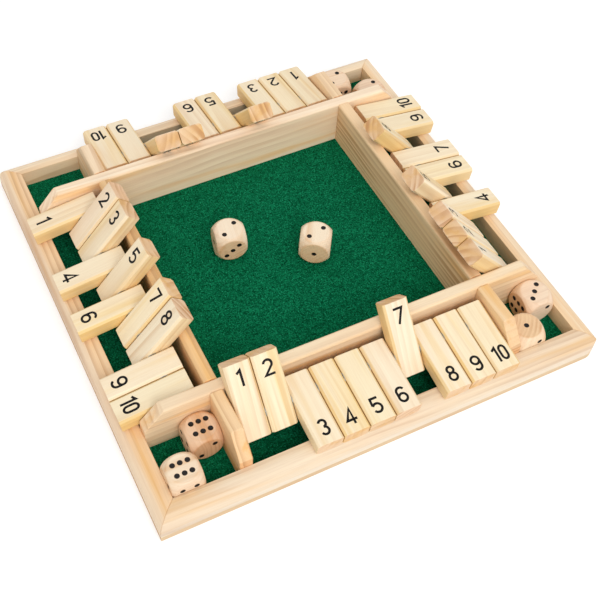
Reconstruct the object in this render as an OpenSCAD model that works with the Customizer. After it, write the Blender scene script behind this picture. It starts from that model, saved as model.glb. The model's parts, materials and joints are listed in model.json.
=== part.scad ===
// Shut the box game for four players: a square tray lined with felt, a row of ten hinged
// number tiles on each side, and eight dice. Millimetres, +Z up, the origin under the
// middle of the board, with the player of the front row at -Y.

/* [Board] */
// Side of the square board
board_side = 280; // [278:1:284]
// Thickness of the base board that everything stands on
board_t = 4; // [3:0.5:5]
// Thickness of the felt lining
felt_t = 1.2; // [0.8:0.1:1.6]
// Plan radius of the rounded front right corner
worn_corner = 8; // [4:1:10]

/* [Outer rails] */
// Width of an outer rail
rail_w = 12.6; // [12:0.1:13]
// Height of an outer rail's top above the table
rail_top = 16.8; // [16:0.1:17.4]
// Width of the flat lip inside an outer rail's rounded top
lip_w = 3.3; // [2:0.1:5]

/* [Inner rails] */
// Thickness of an inner rail and of an end block
wall_t = 7.8; // [7:0.1:8.4]
// Height of an inner rail's top above the table
wall_top = 36.6; // [35.6:0.1:37.6]
// Radius along the top edges of an inner rail
wall_edge = 1.5; // [0.5:0.1:2.5]
// Width of the channel between an inner and an outer rail
channel_w = 38.4; // [38.2:0.1:39]
// Length of the sloping end of an inner rail
slope_len = 12.1; // [8:0.1:14]
// Height above the table where the sloping end meets the end face
slope_low = 22.9; // [19:0.1:26]

/* [Tiles] */
// Thickness of a tile
tile_t = 10.6; // [9.5:0.1:11]
// Length of a tile from the rod to its inner end
tile_in = 11.9; // [11:0.1:12.5]
// Length of a tile from the rod to its outer end
tile_out = 32.6; // [31:0.1:33]
// Chamfer along the long edges of a tile
tile_edge = 1.4; // [0.8:0.1:1.8]
// Gap between neighbouring tiles
tile_gap = 0.4; // [0.3:0.1:0.8]
// Free space at each end of a row
row_slack = 0.6; // [0.5:0.05:1]

/* [Rods] */
// Diameter of a pivot rod
rod_d = 3; // [2.5:0.1:3.5]
// Height of a rod's axis above the table
rod_z = 25.6; // [25:0.1:26.4]
// Distance of a rod's axis from the inner rail's outer face
rod_off = 16.1; // [15.4:0.1:16.4]
// Radial clearance of a tile on its rod
bore_play = 0.1; // [0.05:0.01:0.1]
// Depth of the blind hole that holds a rod's end
rod_seat = 4; // [3:0.5:5]

/* [Dice] */
// Side of a die
die_side = 19.6; // [17:0.1:19.6]
// Radius of the ball that rounds a die's corners, as a share of the side
die_ball = 0.665; // [0.64:0.005:0.665]
// Diameter of a pip
pip_d = 3.1; // [2.4:0.1:3.2]
// Depth of a pip
pip_deep = 0.5; // [0.3:0.05:0.7]

/* [Hidden] */
$fn = 48;
// Clearance where a free piece rests against another
rest_gap = 0.03;
// How far a cutting shape runs past what it cuts
past = 1;
tiles_per_row = 10;

half = board_side / 2;
rail_in = half - rail_w;
wall_out = rail_in - channel_w;
wall_in = wall_out - wall_t;
floor_z = board_t + felt_t;
rod_y = wall_out + rod_off;
tile_pitch = 2 * (wall_in - row_slack) / tiles_per_row;
tile_w = tile_pitch - tile_gap;
rod_len = 2 * (wall_in + rod_seat - rest_gap);

// A lowered tile lies on the outer rail's rounded top, whose arc has its centre drop_out
// further out and drop_down lower than the rod.
round_r = rail_w - lip_w;
drop_out = rail_in + lip_w - rod_y;
drop_down = rod_z - (rail_top - round_r);
tilt_down = atan2(drop_down, drop_out)
    - asin((tile_t / 2 + round_r + rest_gap) / norm([drop_out, drop_down]));
// A flipped tile leans on the inner rail's rounded top edge, whose arc has its centre
// lean_in nearer to the middle and lean_up higher than the rod.
lean_in = rod_off + wall_edge;
lean_up = wall_top - wall_edge - rod_z;
tilt_flipped = 180 - atan2(lean_up, lean_in)
    - asin((tile_t / 2 + wall_edge + rest_gap) / norm([lean_in, lean_up]));
echo(tilt_down = tilt_down, tilt_flipped = tilt_flipped, travel = tilt_down + tilt_flipped,
    rod_y = rod_y, tile_pitch = tile_pitch, wall_in = wall_in, wall_out = wall_out);

// Each side of the board: its name, how far it is turned from the front, and the numbers
// that stand flipped over.
ROWS = [
    ["front", 0, [1, 2, 7]],
    ["right", 90, [1, 2, 3, 5, 8]],
    ["back", 180, [4, 7, 8]],
    ["left", 270, [2, 3, 5, 7, 8]]
];

// Two dice lie in a corner pocket one behind the other, each in a corner of it. Their
// rounded corners pass each other in the middle.
pocket_play = 0.05;
pocket_near = wall_out + die_side / 2 + pocket_play;
pocket_far = rail_in - die_side / 2 - pocket_play;

// Each die: its name, place, turn on the felt, the turn that brings the right face up, and
// which way the slanted pips of its two and three run.
DICE = [
    ["die_tray_left", [-26.8, 21.6], -10, [-90, 0, 90], -1],
    ["die_tray_right", [21.1, -3.4], -33, [-90, 0, 180], 1],
    ["die_front_left_far", [-pocket_near, -pocket_near], 0, [180, 0, 180], 1],
    ["die_front_left_near", [-pocket_far, -pocket_far], 0, [180, 0, 0], 1],
    ["die_front_right_far", [pocket_far, -pocket_near], 0, [0, 90, 0], -1],
    ["die_front_right_near", [pocket_near, -pocket_far], 0, [0, 0, 90], 1],
    ["die_back_right_far", [pocket_near, pocket_far], 0, [-90, 0, 0], 1],
    ["die_back_right_near", [pocket_far, pocket_near], 0, [-90, 0, 90], -1]
];

NUMBERS = [1:tiles_per_row];

// What the rounded front right corner takes away
module corner_waste() {
    translate([half - worn_corner, worn_corner - half, 0])
        difference() {
            translate([0, -worn_corner - past, -past])
                cube([worn_corner + past, worn_corner + past, rail_top + 2 * past]);
            translate([0, 0, -2 * past])
                cylinder(r = worn_corner, h = rail_top + 4 * past);
        }
}

module base_board() {
    color("burlywood")
        difference() {
            translate([-half, -half, 0])
                cube([board_side, board_side, board_t]);
            corner_waste();
        }
}

module felt_lining() {
    color("darkgreen")
        translate([-rail_in, -rail_in, board_t])
            cube([2 * rail_in, 2 * rail_in, felt_t]);
}

// An outer rail: flat lip inside, quarter round outside, mitred at both ends
module outer_rail(turn) {
    color("wheat")
        difference() {
            rotate([0, 0, turn])
                intersection() {
                    translate([-half, -rail_in, board_t])
                        rotate([90, 0, 90])
                            linear_extrude(board_side)
                                outer_profile(rail_top - board_t);
                    linear_extrude(rail_top + past)
                        polygon([[-half, -half], [half, -half],
                            [rail_in, -rail_in], [-rail_in, -rail_in]]);
                }
            corner_waste();
        }
}

// The rail's section, with the inner face on the line x = 0
module outer_profile(height) {
    translate([-rail_w, 0])
        square([rail_w, height - round_r]);
    translate([-lip_w, 0])
        square([lip_w, height]);
    intersection() {
        translate([-lip_w, height - round_r])
            circle(round_r);
        translate([-rail_w, 0])
            square([round_r, height]);
    }
}

// A strip on the felt along X, with its top edges rounded
module strip(from_x, to_x) {
    height = wall_top - floor_z;
    translate([from_x, 0, floor_z])
        rotate([90, 0, 90])
            linear_extrude(to_x - from_x) {
                translate([-wall_t / 2, 0])
                    square([wall_t, height - wall_edge]);
                translate([wall_edge - wall_t / 2, 0])
                    square([wall_t - 2 * wall_edge, height]);
                for (side = [-1, 1])
                    translate([side * (wall_t / 2 - wall_edge), height - wall_edge])
                        circle(wall_edge);
            }
}

// What the slope at the end x of a strip takes away
module slope_waste(end_x) {
    fall = (wall_top - slope_low) / slope_len;
    translate([end_x, wall_t / 2 + past, 0])
        rotate([90, 0, 0])
            linear_extrude(wall_t + 2 * past)
                polygon([[past, slope_low - past * fall], [past, wall_top + past],
                    [-slope_len - past / fall, wall_top + past]]);
}

// A blind hole for a rod's end, along X from the origin
module rod_hole() {
    rotate([0, 90, 0])
        cylinder(r = rod_d / 2 + bore_play / 2, h = rod_seat);
}

// The front and back inner rails run right across, slope down at both ends and hold the
// ends of the side rods.
module long_rail(turn) {
    middle = (wall_in + wall_out) / 2;
    color("wheat")
        rotate([0, 0, turn])
            difference() {
                translate([0, -middle, 0])
                    strip(-rail_in, rail_in);
                for (side = [0, 1])
                    mirror([side, 0, 0]) {
                        translate([0, -middle, 0])
                            slope_waste(rail_in);
                        translate([rod_y, -wall_in, rod_z])
                            rotate([0, 0, -90])
                                rod_hole();
                    }
            }
}

// The left and right inner rails fit between the long ones.
module short_rail(turn) {
    color("wheat")
        rotate([0, 0, turn])
            translate([0, -(wall_in + wall_out) / 2, 0])
                strip(-wall_in, wall_in);
}

// Four short blocks between the long rails and the outer rails, which hold the ends of the
// front and back rods and close the corner pockets
module end_blocks() {
    color("wheat")
        for (flip_x = [0, 1], flip_y = [0, 1])
            mirror([flip_x, 0, 0])
                mirror([0, flip_y, 0])
                    difference() {
                        translate([(wall_in + wall_out) / 2, 0, 0])
                            rotate([0, 0, 90])
                                difference() {
                                    strip(wall_out, rail_in);
                                    slope_waste(rail_in);
                                }
                        translate([wall_in, rod_y, rod_z])
                            rod_hole();
                    }
}

module pivot_rods() {
    color("silver")
        for (row = ROWS)
            rotate([0, 0, row[1]])
                translate([-rod_len / 2, -rod_y, rod_z])
                    rotate([0, 90, 0])
                        cylinder(d = rod_d, h = rod_len);
}

// One number tile on its rod. The number sets its place in the row, and tilt is the angle
// of its outer arm above the level.
module tile(turn, number, tilt) {
    place = (number - (tiles_per_row + 1) / 2) * tile_pitch;
    color("wheat")
        rotate([0, 0, turn])
            translate([place, -rod_y, rod_z])
                rotate([-tilt, 0, 0])
                    difference() {
                        translate([0, tile_in, 0])
                            rotate([90, 0, 0])
                                linear_extrude(tile_in + tile_out)
                                    chamfered(tile_w / 2, tile_t / 2);
                        translate([-tile_w / 2 - past, 0, 0])
                            rotate([0, 90, 0])
                                cylinder(r = rod_d / 2 + bore_play, h = tile_w + 2 * past);
                    }
}

// A tile's section of half width x and half height y, with its corners cut off
module chamfered(x, y) {
    polygon([[x, tile_edge - y], [x, y - tile_edge], [x - tile_edge, y], [tile_edge - x, y],
        [-x, y - tile_edge], [-x, tile_edge - y], [tile_edge - x, -y], [x - tile_edge, -y]]);
}

// Where the pips of a face are, in its own plane, for a slant of 1 or -1. The slant also
// turns the two rows of the six.
function pip_places(value, slant) =
    let (corner = 0.204 * die_side, row = 0.221 * die_side, lane = 0.167 * die_side,
        diagonal = [[-corner, -corner * slant], [corner, corner * slant]],
        crossing = [[-corner, corner * slant], [corner, -corner * slant]])
        value == 1 ? [[0, 0]] :
        value == 2 ? diagonal :
        value == 3 ? concat(diagonal, [[0, 0]]) :
        value == 4 ? concat(diagonal, crossing) :
        value == 5 ? concat(diagonal, crossing, [[0, 0]]) :
        [for (along = [-row, 0, row], across = [-lane, lane])
            slant > 0 ? [along, across] : [across, along]];

// A die with one up, two in front and three on the left, and opposite faces adding to seven
module die(slant) {
    // The ball whose cap is a pip
    ball_r = (pow(pip_d / 2, 2) + pow(pip_deep, 2)) / (2 * pip_deep);
    face_turns = [[0, 0, 0], [90, 0, 0], [90, 0, -90], [90, 0, 90], [90, 0, 180], [180, 0, 0]];
    color("peru")
        difference() {
            intersection() {
                cube(die_side, center = true);
                sphere(die_side * die_ball);
            }
            for (value = [1:6], place = pip_places(value, slant))
                rotate(face_turns[value - 1])
                    translate([place.x, place.y, die_side / 2 + ball_r - pip_deep])
                        sphere(ball_r);
        }
}

base_board();
felt_lining();
for (row = ROWS) {
    outer_rail(row[1]);
}
for (row = [ROWS[0], ROWS[2]]) {
    long_rail(row[1]);
}
for (row = [ROWS[1], ROWS[3]]) {
    short_rail(row[1]);
}
end_blocks();
pivot_rods();
for (row = ROWS, number = NUMBERS) {
    flipped = len([for (n = row[2]) if (n == number) n]) > 0;
    tile(row[1], number, flipped ? tilt_flipped : -tilt_down);
}
for (d = DICE) {
    translate([d[1].x, d[1].y, floor_z + rest_gap + die_side / 2])
            rotate([0, 0, d[2]]) rotate(d[3]) die(d[4]);
}
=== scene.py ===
# %% [markdown]
# # A shut the box board for four players
# The object is a square wooden board with a felt tray. Along each side ten number tiles turn
# on a steel rod, and dice lie in the tray and in the corner pockets. The CAD model already
# fixes every size and joint. This lesson gives each piece its soft edges, its wood grain, its
# printed numbers and its felt, so that the board looks handled and real.

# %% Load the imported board
import json
import math
import random

import bmesh
import bpy
from mathutils import Matrix, Vector, noise


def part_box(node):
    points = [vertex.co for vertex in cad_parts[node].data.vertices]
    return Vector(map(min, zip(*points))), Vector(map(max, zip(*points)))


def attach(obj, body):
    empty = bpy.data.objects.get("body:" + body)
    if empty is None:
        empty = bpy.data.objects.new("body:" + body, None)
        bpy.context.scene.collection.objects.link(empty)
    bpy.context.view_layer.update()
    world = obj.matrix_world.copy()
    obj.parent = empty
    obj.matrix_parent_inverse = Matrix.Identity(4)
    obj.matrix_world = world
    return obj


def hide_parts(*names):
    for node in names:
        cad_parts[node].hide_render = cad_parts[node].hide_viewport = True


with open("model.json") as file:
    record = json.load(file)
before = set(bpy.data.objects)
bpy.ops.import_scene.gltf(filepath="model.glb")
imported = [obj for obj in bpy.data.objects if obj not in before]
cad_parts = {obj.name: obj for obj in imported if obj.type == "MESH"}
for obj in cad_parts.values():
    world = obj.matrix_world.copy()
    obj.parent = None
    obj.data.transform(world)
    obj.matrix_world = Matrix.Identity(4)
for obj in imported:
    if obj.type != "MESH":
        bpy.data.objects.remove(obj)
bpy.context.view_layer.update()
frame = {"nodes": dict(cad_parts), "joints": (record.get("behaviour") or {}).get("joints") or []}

# %% [markdown]
# ## Sizes
# The sizes come from the boxes of the CAD nodes, so that each dressed piece lies where its
# node lies. Only what a box can't say, such as a chamfer or a slope, is written here.

# %% Sizes read from the frame, in metres
MM = 0.001
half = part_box("base_board")[1].x
board_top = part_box("base_board")[1].z
floor_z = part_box("felt_lining")[1].z
rail_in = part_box("felt_lining")[1].x
rail_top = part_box("outer_rail_front")[1].z
wall_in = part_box("inner_rail_right")[0].x
wall_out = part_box("inner_rail_right")[1].x
wall_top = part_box("inner_rail_right")[1].z
tile_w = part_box("tile_front_1")[1].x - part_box("tile_front_1")[0].x
print("board", round(2 * half / MM, 1), "mm, tray", round(2 * wall_in / MM, 1), "mm, tile",
      round(tile_w / MM, 2), "mm wide")

# %% Sizes that a box can't say
LIP_W = 3.3 * MM
WORN_CORNER = 8 * MM
WALL_EDGE = 1.5 * MM
SLOPE_LEN = 12.1 * MM
SLOPE_LOW = 22.9 * MM
TILE_T = 10.6 * MM
TILE_IN = 11.9 * MM
TILE_OUT = 32.6 * MM
TILE_EDGE = 1.4 * MM
REST_GAP = 0.03 * MM
round_r = half - rail_in - LIP_W
print("outer rails rounded to", round(round_r / MM, 1), "mm, tiles",
      round((TILE_IN + TILE_OUT) / MM, 1), "mm long")

# %% [markdown]
# ## Node helpers
# A material is a small graph. These helpers make a node, set or link its sockets by name, and
# chain the arithmetic, so that a finish reads like a recipe.

# %% Helpers that build node graphs
def plug(tree, socket, value):
    """Link value into the socket if it is another socket, or set it as a number or colour."""
    if isinstance(value, bpy.types.NodeSocket):
        tree.links.new(value, socket)
    else:
        socket.default_value = value


def add(tree, kind, sockets=None, **settings):
    """A node of that kind with its settings and its named or numbered sockets filled in."""
    made = tree.nodes.new(kind)
    for name, value in settings.items():
        setattr(made, name, value)
    for name, value in (sockets or {}).items():
        plug(tree, made.inputs[name], value)
    return made


def calc(tree, operation, first, second=0.0, third=0.0, clamp=False):
    """One step of arithmetic on values."""
    return add(tree, "ShaderNodeMath", {0: first, 1: second, 2: third},
               operation=operation, use_clamp=clamp).outputs[0]


def scaled(tree, vector, scale):
    """A vector with each axis multiplied by its own factor."""
    return add(tree, "ShaderNodeVectorMath", {0: vector, 1: scale},
               operation="MULTIPLY").outputs[0]


def cloud(tree, vector, detail=2.0, rough=0.5, scale=1.0, warp=0.0):
    """Smooth noise from 0 to 1."""
    return add(tree, "ShaderNodeTexNoise",
               {"Vector": vector, "Scale": scale, "Detail": detail, "Roughness": rough,
                "Distortion": warp}).outputs["Fac"]


def fade(tree, value, low, high, to_low=0.0, to_high=1.0):
    """A smooth step from to_low to to_high as value goes from low to high."""
    return add(tree, "ShaderNodeMapRange",
               {"Value": value, "From Min": low, "From Max": high, "To Min": to_low,
                "To Max": to_high}, interpolation_type="SMOOTHSTEP").outputs["Result"]


def blend(tree, amount, first, second, mode="MIX"):
    """Two colours mixed."""
    made = add(tree, "ShaderNodeMix", data_type="RGBA", blend_type=mode, clamp_factor=True,
               clamp_result=True)
    plug(tree, made.inputs["Factor"], amount)
    colours = [s for s in made.inputs if s.type == "RGBA"]
    plug(tree, colours[0], first)
    plug(tree, colours[1], second)
    return [s for s in made.outputs if s.type == "RGBA"][0]


def new_group(name, inputs, outputs):
    """A shader node group with named sockets: its tree, its input node and its output node."""
    tree = bpy.data.node_groups.new(name, "ShaderNodeTree")
    for label, kind, value in inputs:
        socket = tree.interface.new_socket(name=label, in_out="INPUT", socket_type=kind)
        if value is not None:
            socket.default_value = value
    for label, kind in outputs:
        tree.interface.new_socket(name=label, in_out="OUTPUT", socket_type=kind)
    return tree, tree.nodes.new("NodeGroupInput"), tree.nodes.new("NodeGroupOutput")


def new_material(name):
    """An empty material with a Principled shader: the material, its tree and the shader."""
    material = bpy.data.materials.new(name)
    material.use_nodes = True
    return material, material.node_tree, material.node_tree.nodes["Principled BSDF"]


def attribute(tree, name, output):
    """What the mesh stores at each point under that name."""
    return add(tree, "ShaderNodeAttribute", attribute_name=name).outputs[output]

# %% [markdown]
# ## Wood grain
# Wood is a solid pattern: a tree grows in rings round its pith, and a saw cuts through them.
# So each piece remembers where it sat in the log, as an attribute named grain, with x along
# the fibres. Rings of that position then give straight lines on a face, wide flames where the
# cut runs along a ring, and arcs on the end grain, all from one rule and with no picture.

# %% The grain group, shared by every kind of wood
VALUE, VECTOR = "NodeSocketFloat", "NodeSocketVector"


def grain_group():
    """Growth rings, fine fibres, broad streaks and pale patches from a place in the log."""
    tree, given, result = new_group(
        "wood grain",
        [("Place", VECTOR, None), ("Ring Gap", VALUE, 0.003), ("Waviness", VALUE, 0.002)],
        [("Rings", VALUE), ("Fibres", VALUE), ("Streaks", VALUE), ("Patches", VALUE)])
    place = given.outputs["Place"]
    axes = add(tree, "ShaderNodeSeparateXYZ", {0: place})
    bent = []
    for axis, reach in (("Y", (6, 30, 30)), ("Z", (5, 24, 24))):
        slow = cloud(tree, scaled(tree, place, reach), detail=2.0)
        wave = calc(tree, "MULTIPLY", calc(tree, "SUBTRACT", slow, 0.5),
                    given.outputs["Waviness"])
        bent.append(calc(tree, "ADD", axes.outputs[axis], wave))
    square = calc(tree, "MULTIPLY_ADD", bent[0], bent[0],
                  calc(tree, "MULTIPLY", bent[1], bent[1]))
    turns = calc(tree, "DIVIDE", calc(tree, "SQRT", square), given.outputs["Ring Gap"])
    uneven = cloud(tree, add(tree, "ShaderNodeCombineXYZ", {0: turns}).outputs[0], scale=0.6)
    turns = calc(tree, "MULTIPLY_ADD", uneven, 2.2, turns)
    phase = calc(tree, "FRACT", turns)
    late = calc(tree, "MULTIPLY", fade(tree, phase, 0.20, 0.88),
                fade(tree, phase, 0.88, 1.0, 1.0, 0.0))
    strength = fade(tree, cloud(tree, scaled(tree, place, (11, 70, 70)), detail=1.0),
                    0.32, 0.68, 0.15, 1.0)
    plug(tree, result.inputs["Rings"], calc(tree, "MULTIPLY", late, strength))
    fine = cloud(tree, scaled(tree, place, (45, 1500, 1500)), detail=3.0, rough=0.6)
    plug(tree, result.inputs["Fibres"], fade(tree, fine, 0.3, 0.7))
    broad = cloud(tree, scaled(tree, place, (6, 130, 130)), detail=3.0, rough=0.5)
    plug(tree, result.inputs["Streaks"], fade(tree, broad, 0.50, 0.74))
    patchy = cloud(tree, scaled(tree, place, (14, 48, 48)), detail=2.0)
    plug(tree, result.inputs["Patches"], fade(tree, patchy, 0.42, 0.66))
    return tree


GRAIN = grain_group()
print("grain gives", [socket.name for socket in GRAIN.interface.items_tree
                      if socket.in_out == "OUTPUT"])

# %% [markdown]
# ## Four finishes from one grain
# Pale early wood, darker late rings, honey streaks and rosy patches are mixed by the masks of
# the grain group. Tiles, rails, base board and dice differ only in their colours and in how
# far apart the rings are, so they look like wood of one family.

# %% A lacquered wood, made from the grain group
def srgb(red, green, blue):
    """A colour given as it looks on a screen, from 0 to 255, turned into linear light."""
    def linear(level):
        share = level / 255
        return share / 12.92 if share <= 0.04045 else ((share + 0.055) / 1.055) ** 2.4
    return (linear(red), linear(green), linear(blue), 1.0)


def wood(name, early, late, honey, blush, sawn, ring_gap, waviness, rings=0.5, gloss=0.42):
    """Lacquered wood: early and late colour the rings, honey the streaks and warm parts,
    blush the patches, and sawn darkens the ends."""
    material, tree, shader = new_material(name)
    grain = add(tree, "ShaderNodeGroup", node_tree=GRAIN)
    plug(tree, grain.inputs["Place"], attribute(tree, "grain", "Vector"))
    grain.inputs["Ring Gap"].default_value = ring_gap
    grain.inputs["Waviness"].default_value = waviness
    end = attribute(tree, "end", "Fac")
    shade = add(tree, "ShaderNodeAttribute", attribute_name="tone")
    colour = blend(tree, calc(tree, "MULTIPLY", grain.outputs["Patches"], 0.55), early, blush)
    honeyed = calc(tree, "MULTIPLY_ADD", attribute(tree, "edge", "Fac"), 0.35,
                   calc(tree, "MULTIPLY", grain.outputs["Streaks"], 0.55))
    # The warm attribute is the wood's warmer colour; on the tile chamfers it is partly painted
    # shade.
    honeyed = calc(tree, "ADD", honeyed, attribute(tree, "warm", "Fac"), clamp=True)
    colour = blend(tree, honeyed, colour, honey)
    ring_share = calc(tree, "MULTIPLY", grain.outputs["Rings"],
                      calc(tree, "MULTIPLY_ADD", end, 0.25, rings))
    ring_share = calc(tree, "MULTIPLY", ring_share, shade.outputs["Alpha"], clamp=True)
    colour = blend(tree, ring_share, colour, late)
    colour = blend(tree, calc(tree, "MULTIPLY", grain.outputs["Fibres"], 0.12), colour, late)
    colour = blend(tree, end, colour, sawn, mode="MULTIPLY")
    # The tone is each piece's own tone; on tile sides against a neighbour it also holds painted
    # shade.
    colour = blend(tree, 1.0, colour, shade.outputs["Color"], mode="MULTIPLY")
    plug(tree, shader.inputs["Base Color"], colour)
    rough = calc(tree, "MULTIPLY_ADD", grain.outputs["Fibres"], 0.14, gloss)
    plug(tree, shader.inputs["Roughness"], calc(tree, "MULTIPLY_ADD", end, 0.15, rough))
    relief = calc(tree, "MULTIPLY_ADD", grain.outputs["Rings"], 0.7, grain.outputs["Fibres"])
    bump = add(tree, "ShaderNodeBump", {"Height": relief, "Strength": 0.25,
                                        "Distance": 0.05 * MM})
    plug(tree, shader.inputs["Normal"], bump.outputs["Normal"])
    shader.inputs["Specular IOR Level"].default_value = 0.3
    return material


PINE = wood("pine tile", srgb(254, 242, 217), srgb(206, 160, 108), srgb(244, 212, 150),
            srgb(251, 234, 208), srgb(246, 228, 220), ring_gap=4.6 * MM, waviness=9 * MM,
            rings=0.32)
RAIL_PINE = wood("pine rail", srgb(253, 240, 216), srgb(188, 138, 92), srgb(242, 196, 132),
                 srgb(248, 224, 198), srgb(246, 228, 214), ring_gap=4.0 * MM, waviness=9 * MM,
                 rings=0.34)
BOARD_WOOD = wood("base board", srgb(238, 216, 182), srgb(200, 160, 118),
                  srgb(222, 186, 138), srgb(228, 200, 170), srgb(244, 232, 220),
                  ring_gap=2.4 * MM, waviness=6 * MM, gloss=0.55)
BEECH = wood("dice wood", srgb(252, 234, 206), srgb(200, 152, 112), srgb(226, 180, 130),
             srgb(244, 214, 186), srgb(243, 226, 206), ring_gap=2.4 * MM, waviness=4 * MM,
             rings=0.2, gloss=0.36)
print("woods", [m.name for m in (PINE, RAIL_PINE, BOARD_WOOD, BEECH)])

# %% [markdown]
# ## Building a wooden piece
# A planed strip is a section pushed along its length. Its edges are never knife sharp, so a
# small bevel goes on each of them and catches a line of light. The mesh then stores at each
# point its place in the log, whether it is on an edge, the piece's tone and how warm the wood
# is there, and for each face whether it was sawn across. On the tiles the tone also holds
# painted shade where a long side lies against a neighbour, and the warmth on the chamfers is
# partly painted shade.

# %% Helpers that build and finish wooden meshes
DRAWS = random.Random(11)
RAIL_BEVEL = 0.35 * MM
STRIP_BEVEL = 0.4 * MM
TILE_BEVEL = 0.32 * MM
BOARD_BEVEL = 0.3 * MM
NO_AREA = 1e-12
FULL_WEAR = math.radians(40)
SHARP_EDGE = math.radians(50)


def log_place():
    """A random spot and turn in the log: where a piece was cut from."""
    far = DRAWS.uniform(28, 70) * MM
    around = DRAWS.uniform(0, 2 * math.pi)
    slope = DRAWS.uniform(-0.03, 0.03)
    shift = Matrix.Translation((DRAWS.uniform(0, 3), 0, far))
    return shift @ Matrix.Rotation(slope, 4, "Y") @ Matrix.Rotation(around, 4, "X")


def tone(level=1.0, red=1.0, blue=1.0, contrast=1.0):
    """A colour that multiplies the wood's own, and how strong the rings are."""
    return (level * red, level, level * blue, contrast)


def soften(mesh, width, angle):
    """Bevel every edge that turns by more than the angle, in degrees."""
    sharp = [e for e in mesh.edges if len(e.link_faces) == 2
             and e.calc_face_angle(0) > math.radians(angle)]
    bmesh.ops.bevel(mesh, geom=sharp, offset=width, offset_type="OFFSET", segments=2,
                    profile=0.5, affect="EDGES", clamp_overlap=True)


def finish(mesh, name, place, log, shade, material, body, replaces=(), warm=0.0):
    """Turn a bmesh in a piece's own frame into an object in the board's frame. The shade and
    the warmth are the same all over, or functions of the place in the piece's own frame.
    Wood is marked as cut across where a face looks along the fibres, the log's x axis."""
    mesh.normal_update()
    data = bpy.data.meshes.new(name)
    edge_wear = []
    for vertex in mesh.verts:
        normals = [f.normal for f in vertex.link_faces if f.calc_area() > NO_AREA]
        spread = max((a.angle(b, 0.0) for a in normals for b in normals), default=0.0)
        edge_wear.append(min(1.0, spread / FULL_WEAR))
    spots = [log @ v.co for v in mesh.verts]
    shades = [shade(v.co) if callable(shade) else shade for v in mesh.verts]
    warmth = [warm(v.co) if callable(warm) else warm for v in mesh.verts]
    log_turn = log.to_3x3()
    cut_across = [abs((log_turn @ face.normal).x) ** 4
                  for face in mesh.faces for _ in face.verts]
    for face in mesh.faces:
        face.smooth = True
    for edge in mesh.edges:
        if len(edge.link_faces) == 2:
            edge.smooth = edge.calc_face_angle(0) < SHARP_EDGE
    mesh.transform(place)
    mesh.to_mesh(data)
    mesh.free()
    flat = [c for spot in spots for c in spot]
    data.attributes.new("grain", "FLOAT_VECTOR", "POINT").data.foreach_set("vector", flat)
    data.attributes.new("edge", "FLOAT", "POINT").data.foreach_set("value", edge_wear)
    data.attributes.new("end", "FLOAT", "CORNER").data.foreach_set("value", cut_across)
    tones = data.attributes.new("tone", "FLOAT_COLOR", "POINT")
    tones.data.foreach_set("color", [level for shade in shades for level in shade])
    data.attributes.new("warm", "FLOAT", "POINT").data.foreach_set("value", warmth)
    data.materials.append(material)
    piece = bpy.data.objects.new(name, data)
    bpy.context.scene.collection.objects.link(piece)
    weighted = piece.modifiers.new("even shading", "WEIGHTED_NORMAL")
    weighted.keep_sharp = True
    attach(piece, body)
    if replaces:
        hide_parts(*replaces)
    return piece


def prism(section, start, end):
    """A bmesh of a closed section in y and z, pushed along x from start to end."""
    mesh = bmesh.new()
    near = [mesh.verts.new((start, y, z)) for y, z in section]
    far = [mesh.verts.new((end, y, z)) for y, z in section]
    mesh.faces.new(near[::-1])
    mesh.faces.new(far)
    count = len(section)
    for i in range(count):
        j = (i + 1) % count
        mesh.faces.new((near[i], near[j], far[j], far[i]))
    bmesh.ops.recalc_face_normals(mesh, faces=mesh.faces)
    return mesh


def arc(centre, radius, start, end, steps):
    """Points along an arc, angles in degrees."""
    return [(centre[0] + radius * math.cos(math.radians(start + (end - start) * i / steps)),
             centre[1] + radius * math.sin(math.radians(start + (end - start) * i / steps)))
            for i in range(steps + 1)]


def cut(mesh, point, normal):
    """Cut away what lies on the normal's side of a plane, and close the cut."""
    everything = mesh.verts[:] + mesh.edges[:] + mesh.faces[:]
    found = bmesh.ops.bisect_plane(mesh, geom=everything, plane_co=point, plane_no=normal,
                                   clear_outer=True)
    edges = [e for e in found["geom_cut"] if isinstance(e, bmesh.types.BMEdge)]
    bmesh.ops.contextual_create(mesh, geom=edges)


SIDES = {"front": 0, "right": 90, "back": 180, "left": 270}


def turned(side):
    """The turn that takes the front side to another side of the board."""
    return Matrix.Rotation(math.radians(SIDES[side]), 4, "Z")

# %% [markdown]
# ## The outer rails
# Four low rails frame the board. Each has a flat lip inside and a quarter round outside, and
# they meet in mitres. The front right corner is rounded in plan as well.

# %% Outer rails
ROUND_STEPS = 12
BAND_SLACK = 0.1 * MM


def wear_round(mesh, way):
    """Round the rail's end in plan, at its right (1) or left (-1), with a fan of cuts."""
    centre = Vector((way * (half - WORN_CORNER), WORN_CORNER - half, 0))
    for step in range(1, ROUND_STEPS):
        angle = math.radians(90 * step / ROUND_STEPS)
        outward = Vector((way * math.sin(angle), -math.cos(angle), 0))
        cut(mesh, centre + outward * WORN_CORNER, outward)


def outer_rail(side, shade, lip_warmth, warmth, lip_band=LIP_W):
    """One mitred rail, built as the front one and turned to its side. Its inner band has
    the lip's warmth and the rest the plain warmth."""
    section = [(-rail_in, board_top), (-rail_in, rail_top)]
    section += arc((-rail_in - LIP_W, rail_top - round_r), round_r, 90, 180,
                   ROUND_STEPS)
    section += [(-half, board_top)]
    mesh = prism(section, -half, half)
    cut(mesh, (half, -half, 0), Vector((1, 1, 0)).normalized())
    cut(mesh, (-half, -half, 0), Vector((-1, 1, 0)).normalized())
    soften(mesh, RAIL_BEVEL, 40)
    if side in ("front", "right"):
        wear_round(mesh, 1 if side == "front" else -1)
    band_edge = -rail_in - lip_band - BAND_SLACK
    finish(mesh, "dressed_outer_rail_" + side, turned(side), log_place(), shade, RAIL_PINE,
           "board", ["outer_rail_" + side],
           lambda spot: lip_warmth if spot.y > band_edge else warmth)


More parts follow.
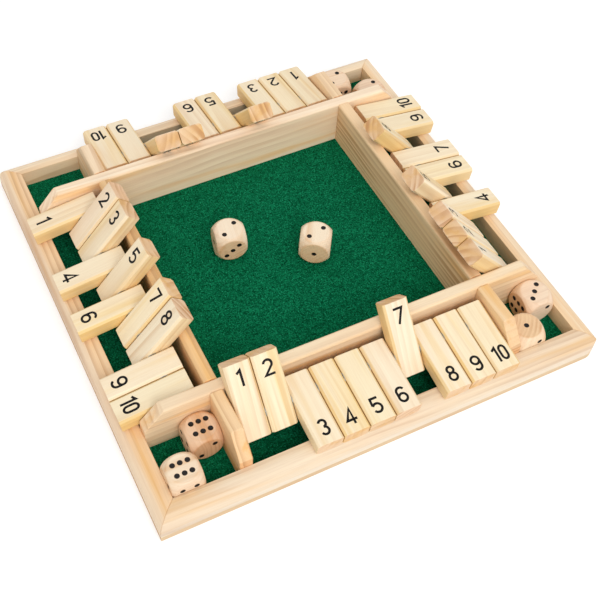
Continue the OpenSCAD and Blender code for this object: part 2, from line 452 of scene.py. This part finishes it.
outer_rail("front", tone(0.9, 1.0, 1.02), 0.1, 0.0)
outer_rail("right", tone(0.99, 1.01, 1.0), 0.35, 0.1)
outer_rail("back", tone(1.01), 0.1, 0.0)
outer_rail("left", tone(0.95, 1.03, 1.0, 1.4), 0.35, 0.1, lip_band=8 * MM)

# %% [markdown]
# ## The inner rails and end blocks
# Planed strips stand on the felt round the tray. Their top edges are rounded, and the ends of
# the front and back strips slope down beside the pockets, as do the short end blocks.

# %% Inner rails and end blocks
def strip_section():
    """The upright strip's section: width across y, height up z, with rounded top edges."""
    reach = (wall_out - wall_in) / 2
    section = [(reach, floor_z)]
    section += arc((reach - WALL_EDGE, wall_top - WALL_EDGE), WALL_EDGE, 0, 90, 5)
    section += arc((WALL_EDGE - reach, wall_top - WALL_EDGE), WALL_EDGE, 90, 180, 5)
    return section + [(-reach, floor_z)]


def strip(start, end, slopes):
    """A strip along x; slopes lists the ends, -1 or 1, that slope down."""
    mesh = prism(strip_section(), start, end)
    fall = wall_top - SLOPE_LOW
    for way in slopes:
        tip = end if way > 0 else start
        cut(mesh, (tip, 0, SLOPE_LOW), Vector((way * fall, 0, SLOPE_LEN)).normalized())
    soften(mesh, STRIP_BEVEL, 30)
    return mesh


middle = (wall_in + wall_out) / 2
INNER_RAILS = {
    "front": (tone(1.0, 1.0, 0.98), 0.15),
    "right": (tone(0.98, 1.03, 0.96, 2.6), 0.3),
    "back": (tone(1.04, 1.02, 1.0, 0.8), 0.0),
    "left": (tone(0.99, 1.03, 0.95, 1.5), 0.55),
}
for side, (shade, warmth) in INNER_RAILS.items():
    long_way = side in ("front", "back")
    reach = rail_in if long_way else wall_in
    place = turned(side) @ Matrix.Translation((0, -middle, 0))
    finish(strip(-reach, reach, (-1, 1) if long_way else ()), "dressed_inner_rail_" + side,
           place, log_place(), shade, RAIL_PINE, "board", ["inner_rail_" + side],
           warmth)
BLOCKS = {
    ("front", "left"): (tone(0.99, 1.02, 0.96, 1.3), 0.4),
    ("front", "right"): (tone(0.97, 1.02, 0.96, 1.2), 0.35),
    ("back", "left"): (tone(0.99, 1.01, 1.0), 0.15),
    ("back", "right"): (tone(0.98, 1.02, 0.97), 0.25),
}
for (y_side, x_side), (shade, warmth) in BLOCKS.items():
    x_way, y_way = (1 if x_side == "right" else -1), (1 if y_side == "back" else -1)
    place = Matrix.Translation((x_way * middle, 0, 0)) @ Matrix.Rotation(
        math.radians(90 * y_way), 4, "Z")
    finish(strip(wall_out, rail_in, (1,)), f"end_block_{y_side}_{x_side}", place, log_place(),
           shade, RAIL_PINE, "board", ["end_blocks"], warmth)
print("inner rails", len(INNER_RAILS), "end blocks", len(BLOCKS))

# %% [markdown]
# ## The number tiles
# A tile is a short pine strip with its four long edges chamfered and then rubbed soft. The
# joint says where its rod is. Its rest tilt follows from what it touches: a lowered tile lies
# on the outer rail's round, and a flipped one leans on the inner rail's round edge.

# %% The two rest tilts, from contact
joints = {j["child"]: j for j in frame["joints"]}
rod = Vector(joints["tile_front_1"]["pos_m"])
drop = Vector((rail_in + LIP_W + rod.y, rod.z - rail_top + round_r))
lean = Vector((-rod.y - wall_out + WALL_EDGE, wall_top - WALL_EDGE - rod.z))
tilt_down = math.atan2(drop.y, drop.x) - math.asin(
    (TILE_T / 2 + round_r + REST_GAP) / drop.length)
tilt_over = math.pi - math.atan2(lean.y, lean.x) - math.asin(
    (TILE_T / 2 + WALL_EDGE + REST_GAP) / lean.length)
print("tilts", round(math.degrees(tilt_down), 2), round(math.degrees(tilt_over), 2))

# %% Tiles
PER_SIDE = 10
# A long side that lies against a neighbouring tile is painted with shade, the shade of the narrow
# gap; an open side gets only a slight darker tint.
SHADED_SIDE = (0.74, 0.60, 0.42)
OPEN_SIDE = (0.97, 0.93, 0.84)
SIDE_DEPTH = 0.2 * MM
CHAMFER_SLACK = 0.05 * MM


def is_flipped(side, number):
    """Whether a tile is flipped over at rest: then its joint turns it back, below zero."""
    return joints[f"tile_{side}_{number}"]["range_deg"][0] < 0


def tile_frame(side, number):
    """Where a tile's own frame lies: x along the row, -y to its outer end, z to its top."""
    joint = joints[f"tile_{side}_{number}"]
    tilt = tilt_over if is_flipped(side, number) else -tilt_down
    return Matrix.Translation(joint["pos_m"]) @ turned(side) @ Matrix.Rotation(-tilt, 4, "X")


def tile_mesh():
    """A tile in a frame with x along the fibres, y across and z up; the outer end is at -x."""
    y, z, edge = tile_w / 2, TILE_T / 2, TILE_EDGE
    section = [(y, edge - z), (y, z - edge), (y - edge, z), (edge - y, z),
               (-y, z - edge), (-y, edge - z), (edge - y, -z), (y - edge, -z)]
    mesh = prism(section, -TILE_OUT, TILE_IN)
    soften(mesh, TILE_BEVEL, 20)
    return mesh


def tile_tint(side, number):
    """A tile's tone by place: its long sides are a little darker all over, and where they lie
    against a neighbour they carry painted shade for the narrow gap.
    """
    rings = DRAWS.uniform(1.0, 1.7) if is_flipped(side, number) else DRAWS.uniform(0.3, 1.1)
    shade = tone(DRAWS.uniform(0.97, 1.02), DRAWS.uniform(0.99, 1.01),
                 DRAWS.uniform(0.94, 1.04), rings)
    close = {way: 1 <= number + way <= PER_SIDE
             and is_flipped(side, number) == is_flipped(side, number + way)
             for way in (-1, 1)}

    def at(spot):
        if abs(spot.y) < tile_w / 2 - SIDE_DEPTH:
            return shade
        # Painted shade on a side against a neighbour, a slight darker tint on an open side.
        darker = SHADED_SIDE if close[-1 if spot.y > 0 else 1] else OPEN_SIDE
        return tuple(level * share for level, share in zip(shade, darker)) + (shade[3],)
    return at


def chamfer_honey_and_shade():
    """Honey coloured chamfers, each long side of a tile by its own amount: partly the wood's
    warmer colour and partly painted shade of the narrow sloping faces.
    """
    left, right = DRAWS.uniform(0.0, 0.8), DRAWS.uniform(0.0, 0.8)

    def at(spot):
        on_chamfer = abs(spot.y) > tile_w / 2 - TILE_EDGE + CHAMFER_SLACK
        # The honey on a chamfer stands partly for the wood's colour and partly for painted shade.
        return (left if spot.y > 0 else right) if on_chamfer else 0.0
    return at


ALONG = Matrix.Rotation(math.radians(90), 4, "Z")
for side in SIDES:
    for number in range(1, PER_SIDE + 1):
        place = tile_frame(side, number) @ ALONG
        finish(tile_mesh(), f"dressed_tile_{side}_{number}", place, log_place(),
               tile_tint(side, number), PINE, f"tile_{side}_{number}",
               [f"tile_{side}_{number}"], chamfer_honey_and_shade())
print("tiles", len(SIDES) * PER_SIDE, "flipped over",
      sum(is_flipped(side, n) for side in SIDES for n in range(1, PER_SIDE + 1)))

# %% [markdown]
# ## The printed numbers
# The numbers are thin black print in a plain rounded style of even line. Each is drawn as a
# pen would draw it: a few straight lines and arcs. A ribbon of the pen's width follows them.
# They lie on both broad faces, so a number reads right whichever way its tile is turned.

# %% Pen paths for the ten digits, in units of the digit's height
PEN = 0.147
RIM = PEN / 2
BOWL = 0.242


def pen_paths(digit):
    """The pen's strokes for a digit, centred on x = 0 and standing on y = 0."""
    top, base = 1 - RIM, RIM
    r = BOWL
    if digit == "0":
        ring = arc((0, top - r), r, 0, 180, 16) + arc((0, base + r), r, 180, 360, 16)
        return [ring + ring[:1]]
    if digit == "1":
        return [[(-0.18, 0.76), (0.05, top), (0.05, 0)]]
    if digit == "2":
        return [arc((0, top - r), r, 165, -35, 18) + [(-r, base), (r + RIM, base)]]
    if digit == "3":
        upper = 0.205
        lower = (top - base - 2 * upper) / 2
        return [arc((0, top - upper), upper, 160, -90, 18),
                arc((0, base + lower), lower, 90, -160, 20)]
    if digit == "4":
        return [[(0.10, 0), (0.10, top), (-r - 0.04, 0.27), (r + RIM, 0.27)]]
    if digit == "5":
        return [[(r - 0.01, top), (-r + 0.04, top), (-r + 0.01, 0.50)],
                arc((0, base + 0.26), 0.26, 150, -150, 20)]
    if digit == "6":
        return [arc((0, top - r), r, 28, 180, 14) + [(-r, base + r)],
                arc((0, base + r), r, 0, 360, 24)]
    if digit == "7":
        return [[(-r - 0.04, top), (r + 0.02, top), (-0.08, 0)]]
    if digit == "8":
        upper = 0.195
        lower = (top - base - 2 * upper) / 2
        return [arc((0, top - upper), upper, 0, 360, 22),
                arc((0, base + lower), lower, 0, 360, 24)]
    return [[(-x, 1 - y) for x, y in path] for path in pen_paths("6")]


def glyph_paths(number):
    """The strokes of a whole number; ten sets a one and a narrow nought side by side."""
    if number < 10:
        return pen_paths(str(number))
    one = [[(x - 0.27, y) for x, y in path] for path in pen_paths("1")]
    nought = [[(0.78 * x + 0.20, y) for x, y in path] for path in pen_paths("0")]
    return one + nought

# %% [markdown]
# ## Ink as thin ribbons
# Print could be a mask in the wood's colour, but a ribbon stays crisp from any distance. The
# ribbons lie a fiftieth of a millimetre above the wood, and strokes that cross lie in layers.

# %% Ribbons of ink along the pen paths
INK_UP = 0.018 * MM
LAYER_STEP = 0.0003
SHARPEST_TURN = 0.45


def ribbon(mesh, path, width, lift):
    """A flat ribbon of that width along a path, in the plane at height lift."""
    points = [Vector(p) for p in path]
    closed = (points[0] - points[-1]).length < 1e-6
    if closed:
        points.pop()
    count = len(points)
    left, right = [], []
    for i, point in enumerate(points):
        before = points[i - 1] if i or closed else None
        after = points[(i + 1) % count] if i < count - 1 or closed else None
        ahead = (after - point).normalized() if after is not None else None
        behind = (point - before).normalized() if before is not None else None
        ahead = ahead if ahead is not None else behind
        behind = behind if behind is not None else ahead
        mean = (ahead + behind).normalized()
        side = Vector((-mean.y, mean.x))
        mitre = side.dot(Vector((-ahead.y, ahead.x)))
        reach = width / 2 / max(SHARPEST_TURN, mitre)
        left.append(mesh.verts.new((*(point + side * reach), lift)))
        right.append(mesh.verts.new((*(point - side * reach), lift)))
    for i in range(count if closed else count - 1):
        j = (i + 1) % count
        mesh.faces.new((right[i], right[j], left[j], left[i]))


def black_ink():
    """Matt black print that sinks a little into the fibres."""
    material, tree, shader = new_material("black print")
    speck = cloud(tree, attribute(tree, "grain", "Vector"), detail=3.0, scale=2400)
    thin = fade(tree, speck, 0.52, 0.80, 0.0, 0.25)
    plug(tree, shader.inputs["Base Color"],
         blend(tree, thin, srgb(10, 10, 10), srgb(64, 54, 42)))
    plug(tree, shader.inputs["Roughness"], fade(tree, speck, 0.3, 0.7, 0.5, 0.65))
    shader.inputs["Specular IOR Level"].default_value = 0.2
    return material


INK = black_ink()
DIGIT_H = 9.85 * MM
TOP_RIM = 4.5 * MM
UNDER_RIM = 3.6 * MM


def number_print(side, number):
    """The number on the tile's top face and, the other way up, on its underside."""
    mesh = bmesh.new()
    for face in (1, -1):
        start = len(mesh.verts)
        for layer, path in enumerate(glyph_paths(number)):
            ribbon(mesh, path, PEN, layer * LAYER_STEP)
        mesh.verts.ensure_lookup_table()
        fresh = mesh.verts[start:]
        if face > 0:
            spot = Matrix.Translation((0, TOP_RIM - TILE_OUT, TILE_T / 2 + INK_UP))
        else:
            spot = Matrix.Translation((0, UNDER_RIM - TILE_OUT, -TILE_T / 2 - INK_UP))
            spot = spot @ Matrix.Translation((0, DIGIT_H, 0)) @ Matrix.Rotation(math.pi, 4, "X")
        bmesh.ops.transform(mesh, matrix=spot @ Matrix.Scale(DIGIT_H, 4), verts=fresh)
    finish(mesh, f"print_{side}_{number}", tile_frame(side, number), log_place(), tone(), INK,
           f"tile_{side}_{number}")


for side in SIDES:
    for number in range(1, PER_SIDE + 1):
        number_print(side, number)
print("prints", len(SIDES) * PER_SIDE, "digit height", round(DIGIT_H / MM, 2), "mm")

# %% [markdown]
# ## The rods
# Drawn steel rods run through the tiles. Only short lengths of them show in the gaps, so the
# CAD rods stay and get a brushed metal with fine lines along their length.

# %% Steel rods
def drawn_steel():
    """Drawn steel: grey metal with fine lines and a little dullness."""
    material, tree, shader = new_material("drawn steel")
    place = add(tree, "ShaderNodeTexCoord").outputs["Object"]
    lines = cloud(tree, scaled(tree, place, (700, 700, 3000)), detail=3.0)
    plug(tree, shader.inputs["Base Color"],
         blend(tree, lines, srgb(150, 150, 148), srgb(196, 195, 190)))
    shader.inputs["Metallic"].default_value = 1.0
    plug(tree, shader.inputs["Roughness"], fade(tree, lines, 0.2, 0.8, 0.25, 0.45))
    return material


STEEL = drawn_steel()
for slot in frame["nodes"]["pivot_rods"].material_slots:
    slot.material = STEEL
print("rod material", STEEL.name)

# %% [markdown]
# ## The spacers
# A small grey dot shows in each gap between two tiles, where the rod passes. It is the rim of a
# thin disc that keeps the tiles apart. Each is a ring a little thinner than the gap.

# %% Spacer discs on the rods
SPACER_R = 4.4 * MM
SPACER_HOLE = 1.6 * MM
SPACER_T = 0.28 * MM
SPACER_STEPS = 40


def spacer_row(side):
    """The nine discs of a side, in one mesh: rings with a hole for the rod."""
    mesh = bmesh.new()
    for number in range(1, PER_SIDE):
        near, far = (Vector(joints[f"tile_{side}_{n}"]["pos_m"]) for n in (number, number + 1))
        middle_x = (turned(side).inverted() @ ((near + far) / 2)).x
        loops = []
        for radius, x in ((SPACER_R, -1), (SPACER_R, 1), (SPACER_HOLE, 1), (SPACER_HOLE, -1)):
            loops.append([mesh.verts.new((middle_x + x * SPACER_T / 2, y + rod.y, z + rod.z))
                          for y, z in arc((0, 0), radius, 0, 360, SPACER_STEPS)[:-1]])
        for one, other in zip(loops, loops[1:] + loops[:1]):
            for i in range(SPACER_STEPS):
                j = (i + 1) % SPACER_STEPS
                mesh.faces.new((one[i], one[j], other[j], other[i]))
    bmesh.ops.recalc_face_normals(mesh, faces=mesh.faces)
    return mesh


for side in SIDES:
    finish(spacer_row(side), "spacers_" + side, turned(side), log_place(), tone(), STEEL,
           "board")
print("spacers", len(SIDES) * (PER_SIDE - 1), "each", round(SPACER_T / MM, 2), "mm thick")

# %% [markdown]
# ## The base board
# A thin board closes the tray from below, flush with the rails. Its edge shows as a thin layer
# under them, so it is a plate with the same rounded corner and slightly softened edges.

# %% Base board
base = bmesh.new()
corners = [(-half, -half), (half - WORN_CORNER, -half)]
corners += arc((half - WORN_CORNER, WORN_CORNER - half), WORN_CORNER, -90, 0, 10)[1:]
corners += [(half, half), (-half, half)]
low = [base.verts.new((x, y, 0)) for x, y in corners]
high = [base.verts.new((x, y, board_top)) for x, y in corners]
base.faces.new(low[::-1])
base.faces.new(high)
for i in range(len(corners)):
    j = (i + 1) % len(corners)
    base.faces.new((low[i], low[j], high[j], high[i]))
soften(base, BOARD_BEVEL, 40)
finish(base, "dressed_base_board", Matrix.Identity(4), log_place(), tone(0.97), BOARD_WOOD,
       "board", ["base_board"])
print("base board", round(board_top / MM, 1), "mm thick")

# %% [markdown]
# ## The felt
# A napped sheet is glued down all over the base board. Felt is a mat of crossing fibres, so its
# colour and height vary in short soft strokes, a few lighter fibres stand out, and it has a
# faint sheen at low angles. It lies flat, so a fine grid with a slight swell is enough.

# %% Felt
def green_felt():
    """Napped green felt: crossing fibres, soft mottling and a faint sheen."""
    material, tree, shader = new_material("green felt")
    place = attribute(tree, "grain", "Vector")
    long_a = cloud(tree, scaled(tree, place, (1350, 450, 450)), detail=3.0, rough=0.7, warp=1.2)
    long_b = cloud(tree, scaled(tree, place, (450, 1350, 450)), detail=3.0, rough=0.7, warp=1.2)
    fibres = calc(tree, "MULTIPLY", calc(tree, "ADD", long_a, long_b), 0.5)
    mottle = cloud(tree, scaled(tree, place, (130, 130, 130)), detail=4.0, rough=0.6)
    fleck = cloud(tree, scaled(tree, place, (1150, 1150, 1150)), detail=2.0, rough=0.6)
    colour = blend(tree, fade(tree, fibres, 0.43, 0.59), srgb(0, 60, 34), srgb(16, 126, 84))
    colour = blend(tree, fade(tree, mottle, 0.35, 0.7, 0.0, 0.35), colour, srgb(0, 78, 48))
    colour = blend(tree, fade(tree, fleck, 0.56, 0.70, 0.0, 0.75), colour, srgb(44, 168, 124))
    plug(tree, shader.inputs["Base Color"], colour)
    shader.inputs["Roughness"].default_value = 0.95
    shader.inputs["Specular IOR Level"].default_value = 0.0
    shader.inputs["Sheen Weight"].default_value = 0.02
    shader.inputs["Sheen Roughness"].default_value = 0.5
    bump = add(tree, "ShaderNodeBump", {"Height": fibres, "Strength": 0.6,
                                        "Distance": 0.25 * MM})
    plug(tree, shader.inputs["Normal"], bump.outputs["Normal"])
    return material


FELT_STEPS = 170
FELT_MARGIN = 0.05 * MM
NAP_WAVE = 1.6 * MM
NAP_SINK = 0.06 * MM
NAP_SWELL = 0.05 * MM


def felt_sheet():
    """The lining: a fine grid whose nap rises and falls a little under the light."""
    mesh = bmesh.new()
    bmesh.ops.create_grid(mesh, x_segments=FELT_STEPS, y_segments=FELT_STEPS,
                          size=rail_in - FELT_MARGIN)
    for vertex in mesh.verts:
        swell = NAP_SWELL * noise.noise(vertex.co / NAP_WAVE)
        vertex.co.z = floor_z - NAP_SINK + swell
    border = [e for e in mesh.edges if e.is_boundary]
    skirt = bmesh.ops.extrude_edge_only(mesh, edges=border)["geom"]
    for vertex in [v for v in skirt if isinstance(v, bmesh.types.BMVert)]:
        vertex.co.z = board_top
    rim = [e for e in mesh.edges if e.is_boundary]
    bmesh.ops.contextual_create(mesh, geom=rim)
    bmesh.ops.recalc_face_normals(mesh, faces=mesh.faces)
    return mesh


felt = finish(felt_sheet(), "felt_sheet", Matrix.Identity(4), Matrix.Identity(4), tone(),
              green_felt(), "board", ["felt_lining"])
print("felt", round(2 * rail_in / MM, 1), "mm square, faces", len(felt.data.polygons))

# %% [markdown]
# ## The dice
# A wooden die is a cube tumbled until its corners are round. A cube's point is drawn in
# towards a ball wherever it stands outside it, with a soft blend between the two. The pips are
# shallow dimples cut by a ball and painted black, as real geometry.

# %% One die, with its pips cut in
DIE_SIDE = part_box("die_front_left_far")[1].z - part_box("die_front_left_far")[0].z
DIE_BALL = 0.665 * DIE_SIDE
PIP_R = 1.55 * MM
PIP_DEEP = 0.5 * MM
PIP_BALL = (PIP_R ** 2 + PIP_DEEP ** 2) / (2 * PIP_DEEP)
DIE_CUTS = 35
DIE_SHARPNESS = 90
FACE_TURNS = {1: (0, 0, 0), 2: (90, 0, 0), 3: (90, 0, -90), 4: (90, 0, 90), 5: (90, 0, 180),
              6: (180, 0, 0)}


def turn(degrees):
    """A turn about x, then y, then z, in degrees."""
    x, y, z = (math.radians(d) for d in degrees)
    return (Matrix.Rotation(z, 4, "Z") @ Matrix.Rotation(y, 4, "Y")
            @ Matrix.Rotation(x, 4, "X"))


def pip_places(value, slant):
    """Where a face's pips are in its own plane. The slant also turns the rows of the six."""
    corner, row, lane = 0.204 * DIE_SIDE, 0.221 * DIE_SIDE, 0.167 * DIE_SIDE
    diagonal = [(-corner, -corner * slant), (corner, corner * slant)]
    crossing = [(-corner, corner * slant), (corner, -corner * slant)]
    centre = [(0, 0)]
    rows = [(x, y) for x in (-row, 0, row) for y in (-lane, lane)]
    return {1: centre, 2: diagonal, 3: diagonal + centre, 4: diagonal + crossing,
            5: diagonal + crossing + centre,
            6: rows if slant > 0 else [(y, x) for x, y in rows]}[value]


def die_body():
    """A cube drawn in to a ball at its corners, on a fine grid."""
    mesh = bmesh.new()
    bmesh.ops.create_cube(mesh, size=DIE_SIDE)
    bmesh.ops.subdivide_edges(mesh, edges=mesh.edges, cuts=DIE_CUTS, use_grid_fill=True)
    for vertex in mesh.verts:
        ratio = (vertex.co.length / DIE_BALL) ** DIE_SHARPNESS
        vertex.co *= (1 + ratio) ** (-1 / DIE_SHARPNESS)
    return mesh


def rounded_cube_mesh(name, slant):
    """The die's mesh with its pips cut by balls; the cut faces are the painted ones."""
    body = bpy.data.objects.new(name, bpy.data.meshes.new(name))
    mesh = die_body()
    mesh.to_mesh(body.data)
    mesh.free()
    balls = bmesh.new()
    for value, degrees in FACE_TURNS.items():
        for x, y in pip_places(value, slant):
            centre = turn(degrees) @ Vector((x, y, DIE_SIDE / 2 + PIP_BALL - PIP_DEEP))
            bmesh.ops.create_icosphere(balls, subdivisions=4, radius=PIP_BALL,
                                       matrix=Matrix.Translation(centre))
    cutter = bpy.data.objects.new(name + "_cutter", bpy.data.meshes.new(name + "_cutter"))
    balls.to_mesh(cutter.data)
    balls.free()
    body.data.materials.append(BEECH)
    body.data.materials.append(PAINT)
    cutter.data.materials.append(PAINT)
    for thing in (body, cutter):
        bpy.context.scene.collection.objects.link(thing)
    boolean = body.modifiers.new("pips", "BOOLEAN")
    boolean.operation = "DIFFERENCE"
    boolean.solver = "EXACT"
    boolean.material_mode = "TRANSFER"
    boolean.object = cutter
    bpy.context.view_layer.update()
    cut_mesh = bpy.data.meshes.new_from_object(
        body.evaluated_get(bpy.context.evaluated_depsgraph_get()))
    bpy.data.objects.remove(body)
    bpy.data.objects.remove(cutter)
    return cut_mesh


def pip_paint():
    """Glossy black paint in the pips."""
    material, tree, shader = new_material("pip paint")
    spots = cloud(tree, add(tree, "ShaderNodeTexCoord").outputs["Object"], scale=1500)
    plug(tree, shader.inputs["Base Color"], blend(tree, spots, srgb(14, 12, 12), srgb(34, 30, 28)))
    plug(tree, shader.inputs["Roughness"], fade(tree, spots, 0.3, 0.7, 0.3, 0.5))
    shader.inputs["Specular IOR Level"].default_value = 0.25
    return material


PAINT = pip_paint()
DIE_MESHES = {slant: rounded_cube_mesh(f"die_{slant}", slant) for slant in (-1, 1)}
print("die faces", {slant: len(m.polygons) for slant, m in DIE_MESHES.items()})

# %% [markdown]
# ## Eight dice from two meshes
# All dice have the same numbers on the same sides, opposite faces adding up to seven. Only the
# slant of the pips differs, so two meshes serve for all. Each die is then turned as it lies,
# and cut from its own spot in the log.

# %% All eight dice
FIBRES_ALONG = {"x": Matrix.Identity(4), "y": Matrix.Rotation(math.radians(-90), 4, "Z"),
                "z": Matrix.Rotation(math.radians(90), 4, "Y")}
# Each die: the turn that brings its faces up, its yaw, the slant of its pips, the axis its
# fibres run along, its tone and its warmth.
DICE = {
    "die_tray_left": ((-90, 0, 90), -10, -1, "x", tone(1.0, 1.0, 1.02), 0.0),
    "die_tray_right": ((-90, 0, 180), -33, 1, "z", tone(0.99), 0.0),
    "die_front_left_far": ((180, 0, 180), 0, 1, "y", tone(0.86, 1.09, 0.98), 0.35),
    "die_front_left_near": ((180, 0, 0), 0, 1, "x", tone(0.98), 0.05),
    "die_front_right_far": ((0, 90, 0), 0, -1, "z", tone(0.97, 1.02, 1.0), 0.0),
    "die_front_right_near": ((0, 0, 90), 0, 1, "z", tone(1.0, 1.01, 0.97), 0.0),
    "die_back_right_far": ((-90, 0, 0), 0, 1, "x", tone(0.94, 1.05, 0.99), 0.1),
    "die_back_right_near": ((-90, 0, 90), 0, -1, "z", tone(0.94, 1.05, 0.99), 0.1),
}


ROUND_WARMTH = 0.08
ROUND_DEPTH = 0.35 * MM


def die_warmth(flat_warmth):
    """Slightly warmer wood on the rounded parts, where the flat faces end."""
    def at(spot):
        inset = DIE_SIDE / 2 - max(abs(level) for level in spot)
        return flat_warmth + ROUND_WARMTH * min(1.0, max(0.0, inset / ROUND_DEPTH))
    return at


for name, (up, yaw, slant, fibres, shade, warmth) in DICE.items():
    low_corner, high_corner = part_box(name)
    spot = Matrix.Translation((low_corner + high_corner) / 2)
    mesh = bmesh.new()
    mesh.from_mesh(DIE_MESHES[slant])
    piece = finish(mesh, "dressed_" + name, spot @ turn((0, 0, yaw)) @ turn(up),
                   log_place() @ FIBRES_ALONG[fibres], shade, BEECH, name, [name],
                   die_warmth(warmth))
    piece.data.materials.append(PAINT)
print("dice", len(DICE), "side", round(DIE_SIDE / MM, 2), "mm")

# %% [markdown]
# ## The floor
# The board lies on a plain white sheet. A little light of its own, seen only by the camera and
# in mirrors, keeps it white where nothing shades it and leaves the soft shadow in place.

# %% Floor
FLOOR_GLOW = 0.30
FLOOR_REACH = 3


def straight_rays(tree):
    """One for the rays that look at a thing, in a mirror or through glass too, else nought."""
    path = add(tree, "ShaderNodeLightPath")
    return calc(tree, "MAXIMUM", path.outputs["Is Camera Ray"],
                calc(tree, "MAXIMUM", path.outputs["Is Glossy Ray"],
                     path.outputs["Is Transmission Ray"]))


def white_floor():
    """A white floor that keeps its soft shadow and reads as white where nothing shades it."""
    material, tree, shader = new_material("white floor")
    shader.inputs["Base Color"].default_value = (0.82, 0.82, 0.82, 1)
    shader.inputs["Roughness"].default_value = 0.9
    shader.inputs["Emission Color"].default_value = (1, 1, 1, 1)
    plug(tree, shader.inputs["Emission Strength"],
         calc(tree, "MULTIPLY", straight_rays(tree), FLOOR_GLOW))
    return material


ground = bmesh.new()
bmesh.ops.create_grid(ground, x_segments=1, y_segments=1, size=FLOOR_REACH)
ground_data = bpy.data.meshes.new("floor")
ground.to_mesh(ground_data)
ground.free()
ground_data.materials.append(white_floor())
floor = bpy.data.objects.new("floor", ground_data)
bpy.context.scene.collection.objects.link(floor)

# %% [markdown]
# ## The light
# An even pale sky fills the shadows, and one large lamp in front and above gives them a
# direction. A large lamp is used because its shadows have soft edges, as in a studio.

# %% Light
SKY_LIGHT = 0.76
world = bpy.data.worlds.new("studio")
bpy.context.scene.world = world
world.use_nodes = True
sky = world.node_tree
sky.nodes["Background"].inputs["Color"].default_value = (1, 1, 1, 1)
plug(sky, sky.nodes["Background"].inputs["Strength"],
     calc(sky, "MULTIPLY_ADD", straight_rays(sky), 1 - SKY_LIGHT, SKY_LIGHT))


def soft_light(name, place, target, size, power):
    """A square area light that faces its target."""
    lamp = bpy.data.lights.new(name, "AREA")
    lamp.size = size
    lamp.energy = power
    holder = bpy.data.objects.new(name, lamp)
    holder.location = place
    aim = Vector(target) - Vector(place)
    holder.rotation_euler = aim.to_track_quat("-Z", "Y").to_euler()
    bpy.context.scene.collection.objects.link(holder)


soft_light("key", (-0.2, -2.2, 2.0), (0, 0, 0), size=1.5, power=36)
print("sky", SKY_LIGHT, "lamps", len(bpy.data.lights))

# %% [markdown]
# ## The camera
# The camera looks from the front left and above. Parallel edges converge only gently in the
# photograph, which means a long lens from some distance. The picture was framed off the lens's
# axis, so a small sideways shift sets the framing.

# %% Camera
CAMERA_AT = (-0.1973, -0.3542, 0.5013)
CAMERA_AXES = (
    (0.90082, 0.33592, -0.27510),
    (-0.43371, 0.72592, -0.53379),
    (0.02039, 0.60016, 0.79962),
)
FOCAL_PIXELS = 1016.4
FRAME_PIXELS = 600
SENSOR = 36
AXIS_X_PIXEL = 260
camera_data = bpy.data.cameras.new("camera")
camera_data.sensor_width = SENSOR
camera_data.lens = FOCAL_PIXELS / FRAME_PIXELS * SENSOR
camera_data.shift_x = (FRAME_PIXELS / 2 - AXIS_X_PIXEL) / FRAME_PIXELS
camera_data.clip_start = 0.01
camera = bpy.data.objects.new("camera", camera_data)
camera.matrix_world = Matrix.Translation(CAMERA_AT) @ Matrix(CAMERA_AXES).to_4x4()
bpy.context.scene.collection.objects.link(camera)
bpy.context.scene.camera = camera
bpy.context.scene.view_settings.view_transform = "Standard"
print("lens", round(camera_data.lens, 1), "mm, shift", round(camera_data.shift_x, 3))
